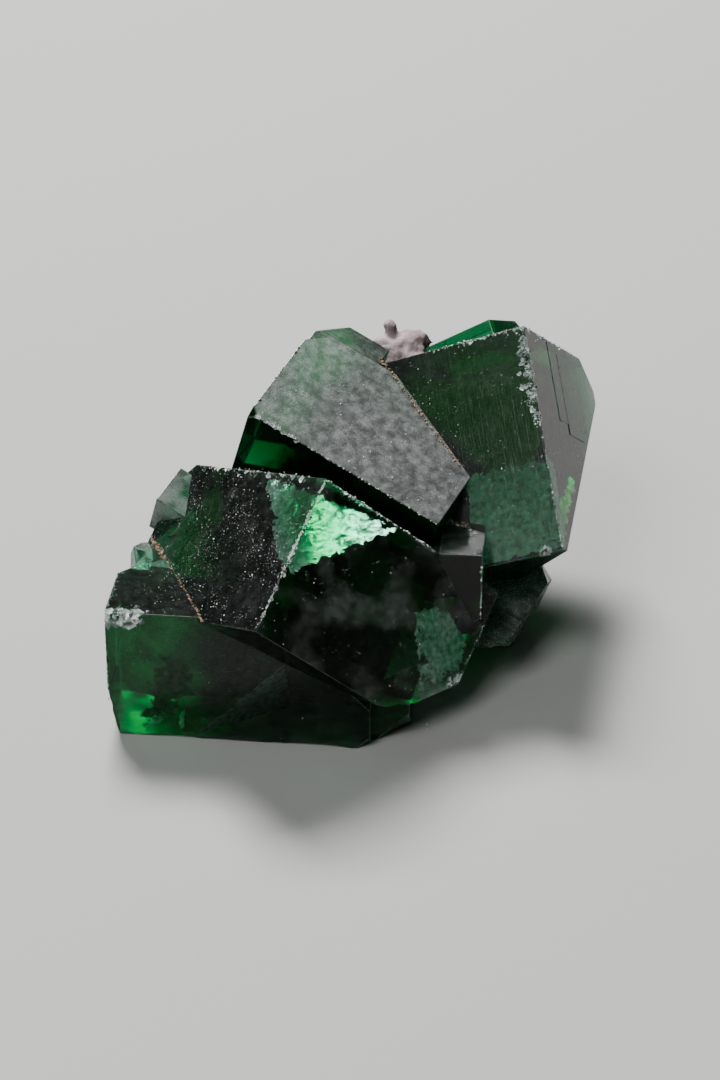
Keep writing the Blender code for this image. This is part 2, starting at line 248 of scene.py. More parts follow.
def growth_plate(number, plate, collection):
    half = [length / 2 for length in plate.crystal.size]
    spans = [plate.span_a, plate.span_b]
    size, middle = [0.0] * 3, [0.0] * 3
    for axis in range(3):
        if axis == plate.axis:
            size[axis] = 2 * plate.height
            middle[axis] = plate.side * half[axis]
        else:
            low, high = spans.pop(0)
            size[axis] = (high - low) * half[axis]
            middle[axis] = (high + low) / 2 * half[axis]
    bm = bmesh.new()
    bmesh.ops.create_cube(bm, size=1.0)
    bmesh.ops.scale(bm, vec=size, verts=bm.verts)
    side = ("-" if plate.side < 0 else "+") + "xyz"[plate.axis]
    for face in bm.faces:
        face.material_index = FINISH_NAMES.index(plate.crystal.finishes.get(side, "clear"))
    bm.transform(Matrix.Translation(place(plate.crystal, middle)) @ plate.crystal.lattice.to_4x4())
    return tool_object(f"plate_{number}", bm, collection)


BREAK_SIDE = 52.0
BREAK_PITCH = 0.6


def fracture_relief(u, v, seed):
    """Height of a broken surface: slow waves, a few cleavage steps and ribs round a point."""
    spot = Vector((u * 0.22, v * 0.22, seed * 7.3))
    waves = noise.fractal(spot, 0.9, 2.1, 5)
    ramp = (u * 0.35 + v * 0.2) + 0.8 * noise.noise(spot * 1.7)
    steps = (ramp - math.floor(ramp)) ** 6
    ribs = math.sin(math.hypot(u - 6.0, v + 4.0) * 2.4) * 0.12
    return 0.55 * waves - 0.35 * steps + ribs


def broken_cutter(name, point, facing, relief, collection, mark="broken", rise=None):
    """A block that takes away what lies beyond a rough break."""
    aim = Vector(facing).normalized()
    side = BREAK_SIDE
    count = int(side / BREAK_PITCH)
    bm = bmesh.new()
    bmesh.ops.create_grid(bm, x_segments=count, y_segments=count, size=side / 2)
    seed = len(name)
    for vert in bm.verts:
        height = fracture_relief(vert.co.x, vert.co.y, seed) * relief
        vert.co.z = height if rise is None else rise(height)
    grown = bmesh.ops.extrude_face_region(bm, geom=bm.faces[:])
    for part in grown["geom"]:
        if isinstance(part, bmesh.types.BMVert):
            part.co.z = side
    for face in bm.faces:
        face.material_index = FINISH_NAMES.index(mark)
    bm.transform(Matrix.Translation(point) @ aim.to_track_quat("Z", "Y").to_matrix().to_4x4())
    return tool_object(name, bm, collection)


# Bruised edges: where the edge starts and ends as shares of the crystal's half size, how many chips
# it has, their mean radius, how far they reach in over the faces, and the share that is white.
Bruise = namedtuple("Bruise", "crystal start end chips radius spread white")
BRUISES = [
    Bruise(TILTED_TWIN, (-1, -1, 1), (-1, -1, -0.95), 70, 0.13, 0.09, 0.7),
    Bruise(TILTED_TWIN, (-1, -1, 0.2), (-1, -1, -0.35), 22, 0.22, 0.22, 0.85),
    Bruise(TILTED_TWIN, (-1, -1, 1), (0.25, -1, 1), 60, 0.15, 0.12, 0.55),
    Bruise(TILTED_TWIN, (-1, -0.8, 1), (-1, 0.75, 1), 50, 0.20, 0.2, 0.6),
    Bruise(TILTED_TWIN, (0.99, -1, -0.12), (0.91, -1, -0.34), 34, 0.13, 0.15, 1.0),
    Bruise(TILTED_TWIN, (1, -1, 0.55), (1, -1, -0.05), 12, 0.13, 0.10, 0.3),
    Bruise(RIGHT_CUBE, (0.97, -1, 0.97), (0.97, -1, 0.1), 110, 0.17, 0.28, 0.95),
    Bruise(RIGHT_CUBE, (1, -1, 0.15), (1, -1, -1), 30, 0.09, 0.04, 0.4),
    Bruise(RIGHT_CUBE, (-0.1, -1, 1), (0.97, -1, 1), 50, 0.14, 0.12, 0.7),
    Bruise(RIGHT_CUBE, (1, -0.9, 1), (1, 0.6, 1), 36, 0.18, 0.2, 0.8),
    Bruise(RIGHT_CUBE, (0.86, -1, -0.97), (0.76, -0.92, -1.0), 12, 0.26, 0.12, 1.0),
    Bruise(FROSTED_CUBE, (-1, -1, 1), (-0.5, -1, 1), 30, 0.18, 0.14, 0.8),
    Bruise(FROSTED_CUBE, (-0.5, -1, 1), (1, -1, 1), 26, 0.09, 0.04, 0.5),
    Bruise(FROSTED_CUBE, (-1, -0.8, 1), (-1, 0.8, 1), 30, 0.13, 0.08, 0.5),
    Bruise(FRONT_SLAB, (-1, -1, 0.93), (-0.75, -1, 0.93), 40, 0.28, 0.34, 1.0),
    Bruise(FRONT_SLAB, (-1, -1, 0.9), (-1, 0.7, 0.9), 24, 0.18, 0.1, 0.5),
    Bruise(FRONT_SLAB, (-1, -1, 0.6), (-1, -1, -0.4), 16, 0.10, 0.05, 0.5),
    Bruise(UPRIGHT_CUBE, (1, -1, 0.8), (1, -1, -0.6), 14, 0.10, 0.05, 0.7),
]
BRUISE_SEED = 21
CHIP_SWELL = 1.25
CHIP_ROUGHNESS = 0.07
CHIP_TILT = 0.25


def bruise_edge(number, bruise, collection):
    """Small octahedral cleavage chips along an edge, some of them crushed white."""
    dice = random.Random(BRUISE_SEED + number)
    crystal = bruise.crystal
    half = Vector(crystal.size) / 2
    for chip in range(bruise.chips):
        share = (chip + dice.uniform(0.1, 0.9)) / bruise.chips
        along = Vector(bruise.start).lerp(Vector(bruise.end), share)
        local = Vector([along[i] * half[i] for i in range(3)])
        local += Vector([dice.gauss(0.0, bruise.spread) for _ in range(3)])
        radius = bruise.radius * dice.uniform(0.45, 1.5)
        bm = bmesh.new()
        bmesh.ops.create_uvsphere(bm, u_segments=4, v_segments=2, radius=radius * CHIP_SWELL)
        stretch = Vector([dice.uniform(0.6, 1.5) for _ in range(3)])
        bmesh.ops.scale(bm, vec=stretch, verts=bm.verts)
        bmesh.ops.triangulate(bm, faces=bm.faces)
        bmesh.ops.subdivide_edges(bm, edges=bm.edges, cuts=1, use_grid_fill=True)
        for vert in bm.verts:
            vert.co += Vector([dice.gauss(0.0, CHIP_ROUGHNESS) * radius for _ in range(3)])
        mark = "bruised" if dice.random() < bruise.white else "chipped"
        for face in bm.faces:
            face.material_index = FINISH_NAMES.index(mark)
        tilt = Euler([dice.gauss(0.0, CHIP_TILT) for _ in range(3)]).to_matrix()
        frame_turn = (crystal.lattice @ tilt).to_4x4()
        bm.transform(Matrix.Translation(place(crystal, local)) @ frame_turn)
        tool_object(f"chip_{number}_{chip}", bm, collection)


# The breaks that follow no cleavage: a point on each, the way it faces and its roughness.
LOWER_RIGHT_TOP = (9.3, -8.9, 0.9)
LOWER_RIGHT_FOOT = (6.7, -8.9, -3.7)
LOWER_RIGHT_UNDERCUT = 0.75
UNDERSIDE_BREAK = ((0.7, -16.5, 4.3), (-0.25, -0.1, -1.0), 0.5)
PALE_FOOT_BREAK = ((10.5, -8.4, 4.1), (0.05, -0.53, -0.85), 0.5)
SLAB_FOOT_BREAK = ((-17.9, -13.3, 3.6), (-0.98, -0.1, -0.19), 0.4)
BASE_RISE = 0.4


def add_boolean(thing, operation, tools):
    step = thing.modifiers.new(operation.lower(), "BOOLEAN")
    step.operation = operation
    step.solver = "EXACT"
    step.material_mode = "INDEX"
    step.operand_type = "COLLECTION"
    step.collection = tools


def applied_mesh(thing):
    """The object's mesh with its modifiers applied."""
    return bpy.data.meshes.new_from_object(thing.evaluated_get(bpy.context.evaluated_depsgraph_get()))


crystal_group = tool_collection("crystal_blocks")
blocks = {crystal.name: crystal_block(crystal, crystal_group) for crystal in CRYSTALS}

# The tilted twin's lower right corner came off along an octahedral cleavage, which is crushed
# white. Behind it the break is uneven.
CORNER_CLEAVAGE = (1, 1, -1)
CORNER_CLEAVAGE_POINT = (8.6, -8.9, -1.75)
BREAK_SETBACK = 1.8
out_of_face = TWIN_LATTICE @ Vector((0, -1, 0))
break_top = place(TILTED_TWIN, LOWER_RIGHT_TOP)
break_line = place(TILTED_TWIN, LOWER_RIGHT_FOOT) - break_top
down_right = break_line.normalized().cross(out_of_face).normalized()
if down_right.z > 0:
    down_right = -down_right
break_facing = (down_right - LOWER_RIGHT_UNDERCUT * out_of_face).normalized()
cleavage_facing = TWIN_LATTICE @ Vector(CORNER_CLEAVAGE)
cleavage_point = place(TILTED_TWIN, CORNER_CLEAVAGE_POINT)
# The twin's uneven break and its underside carry a dark film of painted shade.
BLOCK_BREAKS = [
    ("tilted_twin", cleavage_point, cleavage_facing, 0.05, "shattered"),
    ("tilted_twin", break_top + BREAK_SETBACK * break_facing, break_facing, 0.2, "soiled"),
    ("tilted_twin", *UNDERSIDE_BREAK, "soiled"),
    ("pale_crystal", *PALE_FOOT_BREAK, "broken"),
    ("front_slab", *SLAB_FOOT_BREAK, "broken"),
]
for number, (name, point, facing, relief, mark) in enumerate(BLOCK_BREAKS):
    tools = tool_collection(f"break_tools_{number}")
    broken_cutter(f"{name}_break_{number}", point, facing, relief, tools, mark)
    add_boolean(blocks[name], "DIFFERENCE", tools)

body = blocks["front_slab"]
crystal_group.objects.unlink(body)
bpy.context.scene.collection.objects.link(body)
for number, plate in enumerate(PLATES):
    growth_plate(number, plate, crystal_group)
add_boolean(body, "UNION", crystal_group)

chip_tools = tool_collection("chip_tools")
for number, bruise in enumerate(BRUISES):
    bruise_edge(number, bruise, chip_tools)
add_boolean(body, "DIFFERENCE", chip_tools)

# The base is a rough break under a dark film of painted shade.
base_tools = tool_collection("base_tools")
broken_cutter(
    "base_cut", Vector((0, 0, 0)), (0, 0, -1), 1.0, base_tools, "soiled",
    rise=lambda height: -BASE_RISE * min(1.0, max(0.0, 0.5 + 0.9 * height)),
)
add_boolean(body, "DIFFERENCE", base_tools)

crystal_mesh = applied_mesh(body)


def keep_largest_shell(mesh):
    """Removes crumbs that the chips cut loose, and chips that lie wholly inside."""
    bm = bmesh.new()
    bm.from_mesh(mesh)
    left = set(bm.verts)
    shells = []
    while left:
        edge_of_shell = [left.pop()]
        shell = set(edge_of_shell)
        while edge_of_shell:
            vert = edge_of_shell.pop()
            for edge in vert.link_edges:
                other = edge.other_vert(vert)
                if other not in shell:
                    shell.add(other)
                    edge_of_shell.append(other)
        left -= shell
        shells.append(shell)
    largest = max(shells, key=len)
    crumbs = [vert for vert in bm.verts if vert not in largest]
    bmesh.ops.delete(bm, geom=crumbs, context="VERTS")
    bm.to_mesh(mesh)
    bm.free()


keep_largest_shell(crystal_mesh)


SAME_DIRECTION = 0.9995


def face_axes(normal):
    """Two directions in a face, along the cube edges of the crystal it belongs to if it has one."""
    for crystal in CRYSTALS:
        for axis in range(3):
            if abs(normal.dot(crystal.lattice.col[axis])) > SAME_DIRECTION:
                return crystal.lattice.col[(axis + 1) % 3], crystal.lattice.col[(axis + 2) % 3]
    across = normal.cross(Vector((0.31, 0.52, 0.8))).normalized()
    return across, normal.cross(across)


UNEVEN_FINISHES = ("broken", "shattered", "soiled")
SHARP_ANGLE = 40.0


def write_finish(mesh):
    """Keeps each face's finish as face attributes, and its plane coordinates as a UV map."""
    mesh.uv_layers.new(name="face_plane")
    for field in Finish._fields:
        mesh.attributes.new(field, "FLOAT", "FACE")
    layers = {field: mesh.attributes[field] for field in Finish._fields}
    plane_map = mesh.uv_layers["face_plane"]
    for polygon in mesh.polygons:
        finish = FINISHES[FINISH_NAMES[polygon.material_index]]
        for field in Finish._fields:
            layers[field].data[polygon.index].value = getattr(finish, field)
        across, along = face_axes(polygon.normal)
        for corner in polygon.loop_indices:
            point = mesh.vertices[mesh.loops[corner].vertex_index].co
            plane_map.data[corner].uv = (point.dot(across), point.dot(along))
        polygon.use_smooth = FINISH_NAMES[polygon.material_index] in UNEVEN_FINISHES
        polygon.material_index = 0


# Setting the sharp edges clears the flat faces, so write_finish comes after it.
crystal_mesh.shade_smooth()
crystal_mesh.set_sharp_from_angle(angle=math.radians(SHARP_ANGLE))
write_finish(crystal_mesh)
crystal_mesh.materials.clear()
crystal_mesh.transform(Matrix.Scale(MM, 4) @ Matrix.Translation(-ORIGIN))
crystals = bpy.data.objects.new("fluorite_cluster", crystal_mesh)
bpy.context.scene.collection.objects.link(crystals)
for thing in [thing for thing in bpy.data.objects if thing.type == "MESH"]:
    if thing is not crystals and "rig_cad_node" not in thing:
        bpy.data.objects.remove(thing)
for collection in tool_collections:
    bpy.data.collections.remove(collection)
for mesh in [mesh for mesh in bpy.data.meshes if not mesh.users]:
    bpy.data.meshes.remove(mesh)
for mark in finish_marks:
    bpy.data.materials.remove(mark)

# Emerald fluorite takes most red and blue out of light within a few millimetres.
FLUORITE_IOR = 1.434
ABSORPTION_DENSITY = 560.0
ABSORPTION_COLOUR = (0.03, 0.68, 0.38, 1.0)


def add_node(tree, kind, values=(), **settings):
    """A shader node with its settings, and values for its inputs: numbers or other sockets."""
    node = tree.nodes.new(kind)
    for name, value in settings.items():
        setattr(node, name, value)
    for name, value in dict(values).items():
        if isinstance(value, bpy.types.NodeSocket):
            tree.links.new(value, node.inputs[name])
        else:
            node.inputs[name].default_value = value
    return node


def fluorite_finish():
    material = bpy.data.materials.new("emerald_fluorite")
    material.use_nodes = True
    tree = material.node_tree
    shader = tree.nodes["Principled BSDF"]
    place_in = add_node(tree, "ShaderNodeTexCoord").outputs["Object"]
    space = add_node(
        tree, "ShaderNodeVectorMath", {0: place_in, "Scale": 1 / MM}, operation="SCALE"
    ).outputs[0]
    plane = add_node(tree, "ShaderNodeUVMap", uv_map="face_plane").outputs[0]

    def attribute(name):
        return add_node(tree, "ShaderNodeAttribute", attribute_name=name).outputs["Fac"]

    def math_node(operation, first, second, third=0.0, clamp=False):
        return add_node(
            tree, "ShaderNodeMath", {0: first, 1: second, 2: third},
            operation=operation, use_clamp=clamp,
        ).outputs[0]

    def grain(vector, scale, detail, low, high):
        cloud = add_node(
            tree, "ShaderNodeTexNoise", {"Vector": vector, "Scale": scale, "Detail": detail}
        ).outputs["Fac"]
        return add_node(
            tree, "ShaderNodeMapRange", {"Value": cloud, "From Min": low, "From Max": high}
        ).outputs[0]

    frost, dust, soil = attribute("frost"), attribute("dust"), attribute("soil")
    roughness, striation = attribute("roughness"), attribute("striation")
    blotches = grain(space, 1.5, 6.0, 0.36, 0.66)
    patches = grain(space, 0.32, 3.0, 0.46, 0.66)
    fine = grain(space, 11.0, 4.0, 0.3, 0.7)
    stretched = add_node(
        tree, "ShaderNodeVectorMath", {0: plane, 1: (0.35, 7.0, 1.0)}, operation="MULTIPLY"
    ).outputs[0]
    lines = grain(stretched, 1.0, 5.0, 0.3, 0.7)
    cover = math_node("MULTIPLY_ADD", blotches, 0.55, 0.35)
    cover = math_node("MULTIPLY", cover, math_node("MULTIPLY_ADD", fine, 0.5, 0.75))
    streaks = math_node("MULTIPLY_ADD", math_node("SUBTRACT", lines, 0.5), striation, 1.0)
    cover = math_node("MULTIPLY", cover, streaks)
    bare = math_node("MULTIPLY", math_node("SUBTRACT", 1.0, patches), attribute("patchy"))
    cover = math_node("MULTIPLY", cover, math_node("SUBTRACT", 1.0, bare))
    cover = math_node("MULTIPLY", cover, frost)
    # Painted shade: a patchy dark film that also hides what lies behind the face.
    shade_patches = math_node("MULTIPLY", soil, grain(space, 0.5, 5.0, 0.35, 0.6))
    cover = math_node("MAXIMUM", cover, shade_patches, clamp=True)
    specks = math_node("GREATER_THAN", grain(space, 7.0, 2.0, 0.5, 0.9), 0.55)
    specks = math_node("MULTIPLY", math_node("MULTIPLY", specks, dust), 0.4)
    opaque = math_node("MAXIMUM", cover, specks)
    clear = math_node("SUBTRACT", 1.0, opaque, clamp=True)
    tree.links.new(clear, shader.inputs["Transmission Weight"])
    pale = tree.nodes.new("ShaderNodeMix")
    pale.data_type = "RGBA"
    tree.links.new(fine, pale.inputs["Factor"])
    pale.inputs["A"].default_value = (0.52, 0.57, 0.56, 1)
    pale.inputs["B"].default_value = (0.84, 0.87, 0.86, 1)
    # Painted shade: the dark film's colour laid over the base colour.
    film = tree.nodes.new("ShaderNodeMix")
    film.data_type = "RGBA"
    tree.links.new(soil, film.inputs["Factor"])
    tree.links.new(pale.outputs["Result"], film.inputs["A"])
    film.inputs["B"].default_value = (0.028, 0.036, 0.026, 1)
    tree.links.new(film.outputs["Result"], shader.inputs["Base Color"])
    tree.links.new(math_node("MULTIPLY_ADD", fine, 0.08, roughness), shader.inputs["Roughness"])
    relief = math_node("MULTIPLY", math_node("ADD", fine, blotches), frost)
    relief = math_node("ADD", relief, math_node("MULTIPLY", lines, striation))
    relief = math_node("ADD", relief, math_node("MULTIPLY", fine, 0.04))
    bump = add_node(tree, "ShaderNodeBump", {"Height": relief, "Distance": 0.02 * MM, "Strength": 0.8})
    tree.links.new(bump.outputs[0], shader.inputs["Normal"])
    shader.inputs["IOR"].default_value = FLUORITE_IOR
    absorption = add_node(
        tree, "ShaderNodeVolumeAbsorption",
        {"Color": ABSORPTION_COLOUR, "Density": ABSORPTION_DENSITY},
    )
    output = tree.nodes["Material Output"]
    tree.links.new(absorption.outputs[0], output.inputs["Volume"])
    return material


crystal_mesh.materials.append(fluorite_finish())
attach(crystals, "root")
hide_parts("fluorite_crystals")

# The cracks inside the crystals.
# Thin cracks inside the crystals, most of them along octahedral cleavage planes. Air in them mirrors
# light, and feathered cracks and veils of bubbles scatter it. The largest has begun to part the
# tilted twin's front corner: it is the mint green patch, ragged where it nears the faces.
CRACK_THICKNESS = 0.02
CRACK_PITCH = 0.15
CRACK_DEPTH = 0.12
CRACK_FLOOR = 0.5
BREAK_MARGIN = 0.15
CRACK_WAVES = 0.12
CRACK_KINDS = ("air", "veil", "feather")

Crack = namedtuple("Crack", "kind crystal centre facing turn length width ragged")
CORNER_CRACK_LEVEL = 15.8
CORNER = Vector((-1, -1, 1))
CRACKS = [
    Crack("air", TILTED_TWIN, CORNER * CORNER_CRACK_LEVEL / 3, CORNER, 0.0, 16.0, 16.0, 0.45),
    Crack("air", RIGHT_CUBE, (6.5, -3.6, -4.6), (1, -1, 1), 0.9, 6.5, 3.0, 0.6),
    Crack("feather", FRONT_SLAB, (-6.4, -3.0, -3.9), (1, -1, 1), 0.3, 3.4, 1.0, 0.5),
    Crack("feather", FRONT_SLAB, (-4.3, -2.6, -3.4), (-1, -1, 1), 0.6, 2.0, 0.7, 0.5),
    Crack("veil", FRONT_SLAB, (1.3, -1.5, -2.0), (1, -1, -1), 0.0, 12.0, 12.0, 0.1),
    Crack("veil", FRONT_SLAB, (-5.6, -0.5, -2.4), (0.2, -1, 0.5), 0.4, 7.0, 3.0, 0.8),
    Crack("veil", RIGHT_CUBE, (4.4, -6.2, -5.0), (0.1, -1, 0.1), 0.75, 7.5, 8.5, 0.3),
    Crack("feather", TILTED_TWIN, (7.1, -8.1, 0.07), (0.08, -1, 0.15), 1.375, 7.0, 5.8, 0.45),
]


def depth_under_breaks(spot, crystal):
    """How far a point lies behind the breaks that were cut from a crystal."""
    depths = [
        (Vector(point) - spot).dot(Vector(facing).normalized()) - BREAK_MARGIN
        for name, point, facing, relief, mark in BLOCK_BREAKS if name == crystal.name
    ]
    return min(depths, default=math.inf)


def is_covered(spot, own):
    """Whether a point on one crystal lies inside another."""
    for crystal in CRYSTALS:
        if crystal is own:
            continue
        local = crystal.lattice.transposed() @ (spot - Vector(crystal.centre))
        if all(abs(local[i]) < crystal.size[i] / 2 for i in range(3)):
            return True
    return False


def crack_sheet(bm, crack, seed):
    """Adds one thin sheet to the mesh, kept clear of the crystal's faces, in world millimetres."""
    facing = Vector(crack.facing).normalized()
    across = facing.orthogonal().normalized()
    across = Matrix.Rotation(crack.turn, 3, facing) @ across
    turn = Matrix((across, facing.cross(across), facing)).transposed().to_4x4()
    sheet = bmesh.new()
    count = int(max(crack.length, crack.width) / CRACK_PITCH)
    bmesh.ops.create_grid(sheet, x_segments=count, y_segments=count, size=0.5)
    bmesh.ops.scale(sheet, vec=(crack.length, crack.width, 1.0), verts=sheet.verts)
    bmesh.ops.triangulate(sheet, faces=sheet.faces)
    for vert in sheet.verts:
        vert.co.z += CRACK_WAVES * noise.fractal(Vector((vert.co.x, vert.co.y, seed)) * 0.8, 1.0, 2.0, 3)
    place_local = Matrix.Translation(crack.centre) @ turn
    half = Vector(crack.crystal.size) / 2
    gone = []
    for face in sheet.faces:
        spot = face.calc_center_median()
        local = place_local @ spot
        ragged = crack.ragged * (0.5 + noise.fractal(spot * 1.1 + Vector((0, 0, seed)), 0.6, 2.2, 5))
        depth = min(half[i] - abs(local[i]) for i in range(3)) - CRACK_DEPTH
        depth = min(depth, depth_under_breaks(place(crack.crystal, local), crack.crystal))
        edge = min(depth, crack.length / 2 - abs(spot.x), crack.width / 2 - abs(spot.y))
        covered = crack.kind != "air" and is_covered(place(crack.crystal, local), crack.crystal)
        low = place(crack.crystal, local).z < CRACK_FLOOR
        if edge < max(0.0, ragged) or covered or low:
            gone.append(face)
    bmesh.ops.delete(sheet, geom=gone, context="FACES")
    loose = [vert for vert in sheet.verts if not vert.link_faces]
    bmesh.ops.delete(sheet, geom=loose, context="VERTS")
    thick = bmesh.ops.extrude_face_region(sheet, geom=sheet.faces[:])
    for part in thick["geom"]:
        if isinstance(part, bmesh.types.BMVert):
            part.co.z += CRACK_THICKNESS
    bmesh.ops.recalc_face_normals(sheet, faces=sheet.faces)
    for face in sheet.faces:
        face.material_index = CRACK_KINDS.index(crack.kind)
    sheet.transform(Matrix.Translation(crack.crystal.centre) @ crack.crystal.lattice.to_4x4() @ place_local)
    mesh = bpy.data.meshes.new("crack_sheet")
    sheet.to_mesh(mesh)
    sheet.free()
    bm.from_mesh(mesh)
    bpy.data.meshes.remove(mesh)


def crack_finish(name, dark, light, metallic, roughness):
    material = bpy.data.materials.new(name)
    material.use_nodes = True
    tree = material.node_tree
    shader = tree.nodes["Principled BSDF"]
    space = add_node(
        tree, "ShaderNodeVectorMath",
        {0: add_node(tree, "ShaderNodeTexCoord").outputs["Object"], "Scale": 1 / MM},
        operation="SCALE",
    ).outputs[0]
    cloud = add_node(
        tree, "ShaderNodeTexNoise", {"Vector": space, "Scale": 2.2, "Detail": 8.0}
    ).outputs["Fac"]
    ramp = add_node(tree, "ShaderNodeValToRGB", {"Fac": cloud})
    ramp.color_ramp.elements[0].position = 0.3
    ramp.color_ramp.elements[0].color = dark
    ramp.color_ramp.elements[1].position = 0.65
    ramp.color_ramp.elements[1].color = light
    tree.links.new(ramp.outputs["Color"], shader.inputs["Base Color"])
    shader.inputs["Metallic"].default_value = metallic
    shader.inputs["Roughness"].default_value = roughness
    bump = add_node(
        tree, "ShaderNodeBump", {"Height": cloud, "Distance": 0.08 * MM, "Strength": 0.7}
    )
    tree.links.new(bump.outputs[0], shader.inputs["Normal"])
    return material


def finished_piece(name, mesh, materials, smooth_angle=None):
    """A new object from a mesh made in the layout's millimetres."""
    mesh.transform(Matrix.Scale(MM, 4) @ Matrix.Translation(-ORIGIN))
    for material in materials:
        mesh.materials.append(material)
    if smooth_angle is not None:
        mesh.shade_smooth()
        mesh.set_sharp_from_angle(angle=math.radians(smooth_angle))
    piece = bpy.data.objects.new(name, mesh)
    bpy.context.scene.collection.objects.link(piece)
    return piece


bm = bmesh.new()
for number, crack in enumerate(CRACKS):
    crack_sheet(bm, crack, number * 3.7)
crack_mesh = bpy.data.meshes.new("cleavage_cracks")
bm.to_mesh(crack_mesh)
bm.free()
crack_materials = [
    crack_finish("air_crack", (0.62, 0.80, 0.74, 1), (0.97, 1.0, 0.98, 1), 0.75, 0.34),
    crack_finish("bubble_veil", (0.07, 0.13, 0.09, 1), (0.30, 0.46, 0.36, 1), 0.0, 0.8),
    crack_finish("feathered_crack", (0.16, 0.32, 0.22, 1), (0.90, 1.0, 0.93, 1), 0.0, 0.55),
]
cracks = finished_piece("cleavage_cracks", crack_mesh, crack_materials, smooth_angle=60)
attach(cracks, "root")

# The dust and the crushed crumbs.
# Pale dust lies on the faces, most on the tilted twin's left face, and white crumbs of crushed
# fluorite cling along the bruised edges.
Dusting = namedtuple("Dusting", "crystal axis side grains radius")
DUSTINGS = [
    Dusting(TILTED_TWIN, 0, -1, 4200, 0.015),
    Dusting(TILTED_TWIN, 1, -1, 1000, 0.015),
    Dusting(FRONT_SLAB, 2, 1, 500, 0.016),
    Dusting(FRONT_SLAB, 1, -1, 90, 0.018),
    Dusting(FROSTED_CUBE, 2, 1, 500, 0.019),
    Dusting(RIGHT_CUBE, 1, -1, 1200, 0.015),
    Dusting(RIGHT_CUBE, 0, 1, 500, 0.015),
]
DUST_SEED = 5
CRUMBS_PER_MM = 12
CRUMB_RADIUS = 0.042
CRUMB_SINK = 0.05
CRUMB_SPREAD = 0.4
FINE_GRAIN = 0.035
DUST_FLOOR = 0.2


class Grains:
    """Small angular grains joined in one mesh. The finest are blocks."""

    def __init__(self):
        self.verts = []
        self.faces = []
        self.shapes = {}
        for name in ("block", "lump"):
            bm = bmesh.new()
            if name == "block":
                bmesh.ops.create_cube(bm, size=1.6)
            else:
                bmesh.ops.create_icosphere(bm, subdivisions=1, radius=1.0)
            bm.verts.index_update()
            corners = [vert.co.copy() for vert in bm.verts]
            self.shapes[name] = corners, [[vert.index for vert in face.verts] for face in bm.faces]
            bm.free()

    def add(self, spot, radius, dice):
        stretch = [radius * dice.uniform(0.55, 1.4) for _ in range(3)]
        turn = Euler([dice.uniform(0, math.pi) for _ in range(3)]).to_matrix()
        corners, faces = self.shapes["block" if radius < FINE_GRAIN else "lump"]
        first = len(self.verts)
        for corner in corners:
            self.verts.append(spot + turn @ Vector([corner[i] * stretch[i] for i in range(3)]))
        self.faces += [[first + index for index in face] for face in faces]

    def mesh(self, name):
        mesh = bpy.data.meshes.new(name)
        mesh.from_pydata(self.verts, [], self.faces)
        return mesh


def is_cleaved_off(local, crystal):
    for corner, leg in crystal.cleavages:
        tip = sum(crystal.size) / 2 - leg
        if Vector(corner).dot(local) > tip:
            return True
    return False


grains = Grains()
dice = random.Random(DUST_SEED)
for dusting in DUSTINGS:
    half = Vector(dusting.crystal.size) / 2
    for grain in range(dusting.grains):
        local = Vector([dice.uniform(-half[i], half[i]) for i in range(3)])
        local[dusting.axis] = dusting.side * half[dusting.axis]
        spot = place(dusting.crystal, local)
        if is_covered(spot, dusting.crystal) or is_cleaved_off(local, dusting.crystal):
            continue
        if spot.z < DUST_FLOOR:
            continue
        if noise.fractal(spot * 0.35, 1.0, 2.0, 2) < dice.uniform(-0.5, 0.3):
            continue
        grains.add(spot, dusting.radius * (0.5 + dice.expovariate(1.6)), dice)
for bruise in BRUISES:
    half = Vector(bruise.crystal.size) / 2
    start, end = [Vector([at[i] * half[i] for i in range(3)]) for at in (bruise.start, bruise.end)]
    for crumb in range(int((end - start).length * CRUMBS_PER_MM * bruise.white)):
        local = start.lerp(end, dice.random())
        local += Vector([
            -CRUMB_SINK * math.copysign(1, local[i]) + dice.gauss(0, bruise.spread * CRUMB_SPREAD)
            for i in range(3)
        ])
        spot = place(bruise.crystal, local)
        if not is_covered(spot, bruise.crystal) and not is_cleaved_off(local, bruise.crystal):
            grains.add(spot, CRUMB_RADIUS * dice.uniform(0.4, 1.7), dice)


SPECKS_PER_MM = 5.0


def speckled_finish(name, dark, light, roughness):
    """A matt finish whose colour changes from grain to grain."""
    material = bpy.data.materials.new(name)
    material.use_nodes = True
    tree = material.node_tree
    shader = tree.nodes["Principled BSDF"]
    place_in = add_node(tree, "ShaderNodeTexCoord").outputs["Object"]
    cells = add_node(
        tree, "ShaderNodeTexVoronoi", {"Vector": place_in, "Scale": SPECKS_PER_MM / MM}
    ).outputs["Color"]
    ramp = add_node(tree, "ShaderNodeValToRGB", {"Fac": cells})
    ramp.color_ramp.elements[0].color = dark
    ramp.color_ramp.elements[1].color = light
    tree.links.new(ramp.outputs["Color"], shader.inputs["Base Color"])
    shader.inputs["Roughness"].default_value = roughness
    return material


dust = finished_piece(
    "dust_and_crumbs", grains.mesh("dust_and_crumbs"),
    [speckled_finish("crushed_white", (0.55, 0.56, 0.54, 1), (0.92, 0.93, 0.92, 1), 0.6)],
)
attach(dust, "root")

# The clay in the seams.
# Tan clay and rusty grains have stayed in the seams between crystals since the piece was dug out.
Seam = namedtuple("Seam", "points grains spread radius")
SEAMS = [
    Seam([(-15.35, -2.54, 9.8), (-13.83, -6.15, 9.92), (-12.33, -10.34, 10.07), (-10.94, -14.4, 10.21)],
         230, 0.05, 0.042),
    Seam([(-15.0, -3.4, 9.83), (-14.0, -5.7, 9.9)], 150, 0.10, 0.055),
    Seam([(1.47, 5.26, 20.42), (2.42, 4.1, 19.63), (4.37, 1.58, 17.95), (5.8, -0.32, 16.7),
          (7.22, -1.96, 15.56)], 260, 0.07, 0.045),
    Seam([(6.35, -4.2, 12.11), (7.92, -4.92, 12.13)], 90, 0.10, 0.05),
]
SEAM_SEED = 8
CLAY_FLOOR = 0.3

